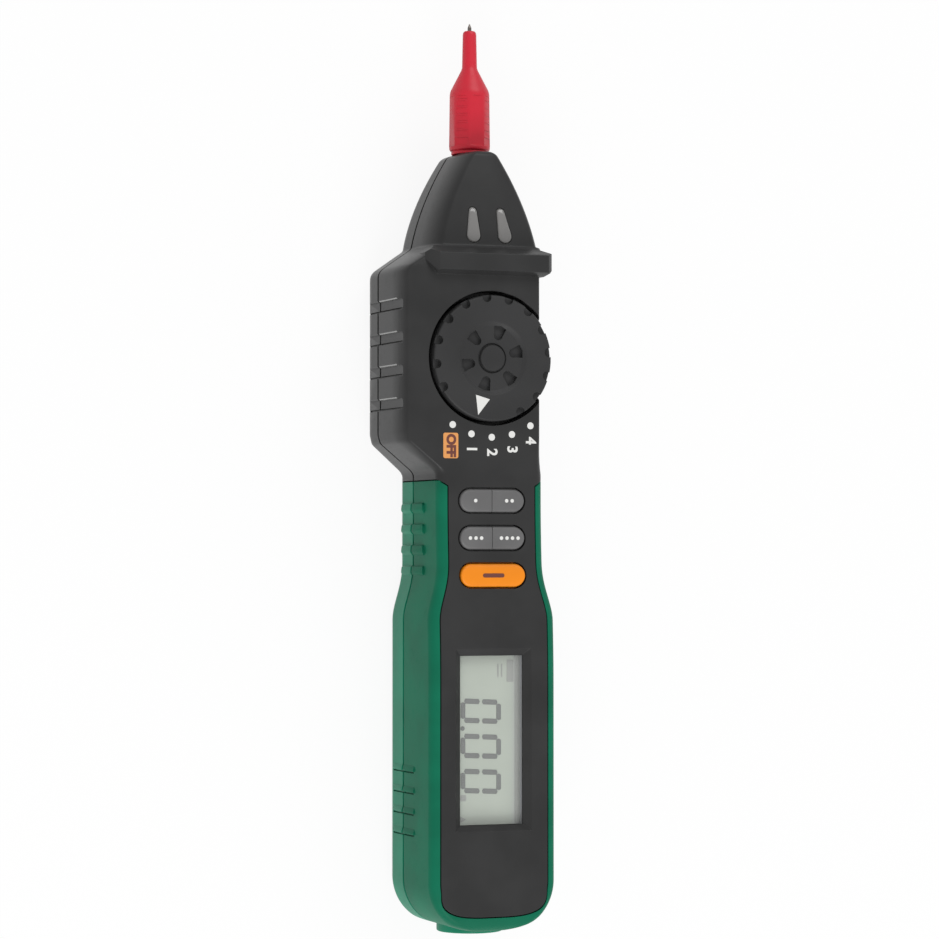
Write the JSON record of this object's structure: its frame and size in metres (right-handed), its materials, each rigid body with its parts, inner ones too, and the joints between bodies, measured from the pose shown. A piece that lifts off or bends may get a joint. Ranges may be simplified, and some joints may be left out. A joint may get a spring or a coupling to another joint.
{
  "type": "pen multimeter",
  "caption": "Slim pen-shaped digital multimeter with a sleeved probe tip, a thumb dial, press keys, a tall display, green grips and a common-lead socket.",
  "frame": {"origin": "on the flat back, below the probe's axis, at mount rest_face", "axes": "+X to the right of the display, +Y towards the probe tip, +Z out of the front face"},
  "size_m": [0.0369, 0.2074, 0.0291],
  "materials": {
    "case_black": "satin",
    "grip_green": "satin",
    "dial_black": "satin",
    "pointer_white": "satin",
    "key_grey": "satin",
    "key_orange": "satin",
    "sleeve_red": "satin",
    "probe_steel": "polished",
    "screw_steel": "zinc plated",
    "contact_brass": "bright",
    "spring_steel": "nickel plated",
    "insulator": "moulded",
    "window_clear": "polished",
    "lens_smoke": "polished",
    "lcd_grey": "polariser film",
    "elastomer": "moulded",
    "mat_rubber": "moulded",
    "lamp_red": "clear epoxy",
    "lamp_green": "clear epoxy",
    "board_laminate": "solder mask",
    "chip_black": "moulded epoxy",
    "part_tan": "ceramic",
    "fuse_body": "glass tube",
    "cell_sleeve": "shrink sleeve"
  },
  "bodies": {
    "housing": {"front_case": "case_black", "front_grip": "grip_green", "rear_case": "case_black", "rear_grip": "grip_green", "case_screws": "screw_steel", "probe_holder": "insulator", "probe_tip": "probe_steel", "probe_lug": "contact_brass", "keypad_mat": "mat_rubber", "lcd_window": "window_clear", "lcd_panel": "lcd_grey", "lcd_holder": "insulator", "lcd_contact_strips": "elastomer", "sense_lens": "lens_smoke", "logic_lens": "lens_smoke", "sense_lamp": "lamp_red", "logic_lamps": "lamp_green", "sensing_plate": "contact_brass", "main_board": "board_laminate", "measuring_chip": "chip_black", "board_parts": "part_tan", "buzzer": "chip_black", "fuse": "fuse_body", "fuse_clips": "contact_brass", "socket_collar": "grip_green", "socket_body": "case_black", "socket_contact": "spring_steel", "cell_left": "cell_sleeve", "cell_right": "cell_sleeve", "cell_springs": "spring_steel", "cell_plates": "spring_steel"},
    "battery_door": {"battery_door": "case_black", "battery_door_screw": "screw_steel"},
    "probe_sleeve": {"probe_sleeve": "sleeve_red"},
    "dial": {"dial": "dial_black", "dial_pointer": "pointer_white", "dial_rotor": "insulator", "dial_wipers": "contact_brass", "detent_balls": "spring_steel", "detent_springs": "spring_steel"},
    "range_key": {"range_key": "key_grey"},
    "hold_key": {"hold_key": "key_grey"},
    "peak_key": {"peak_key": "key_grey"},
    "function_key": {"function_key": "key_grey"},
    "sense_key": {"sense_key": "key_orange"}
  },
  "joints": [
    {"name": "dial_turn", "type": "hinge", "parent": "housing", "child": "dial", "pos_m": [0, 0.0525, 0.0217], "axis": [0, 0, 1], "range_deg": [-16.05, 48.15]},
    {"name": "sleeve_pull", "type": "slide", "parent": "housing", "child": "probe_sleeve", "axis": [0, 1, 0], "range_m": [0, 0.031]},
    {"name": "door_lift", "type": "slide", "parent": "housing", "child": "battery_door", "axis": [0, 0, -1], "range_m": [0, 0.02]},
    {"name": "range_press", "type": "slide", "parent": "housing", "child": "range_key", "axis": [0, 0, -1], "range_m": [0, 0.0006], "stiffness_N_per_m": 900, "springref_m": -0.0001},
    {"name": "hold_press", "type": "slide", "parent": "housing", "child": "hold_key", "axis": [0, 0, -1], "range_m": [0, 0.0006], "stiffness_N_per_m": 900, "springref_m": -0.0001},
    {"name": "peak_press", "type": "slide", "parent": "housing", "child": "peak_key", "axis": [0, 0, -1], "range_m": [0, 0.0006], "stiffness_N_per_m": 900, "springref_m": -0.0001},
    {"name": "function_press", "type": "slide", "parent": "housing", "child": "function_key", "axis": [0, 0, -1], "range_m": [0, 0.0006], "stiffness_N_per_m": 900, "springref_m": -0.0001},
    {"name": "sense_press", "type": "slide", "parent": "housing", "child": "sense_key", "axis": [0, 0, -1], "range_m": [0, 0.0006], "stiffness_N_per_m": 900, "springref_m": -0.0001}
  ]
}
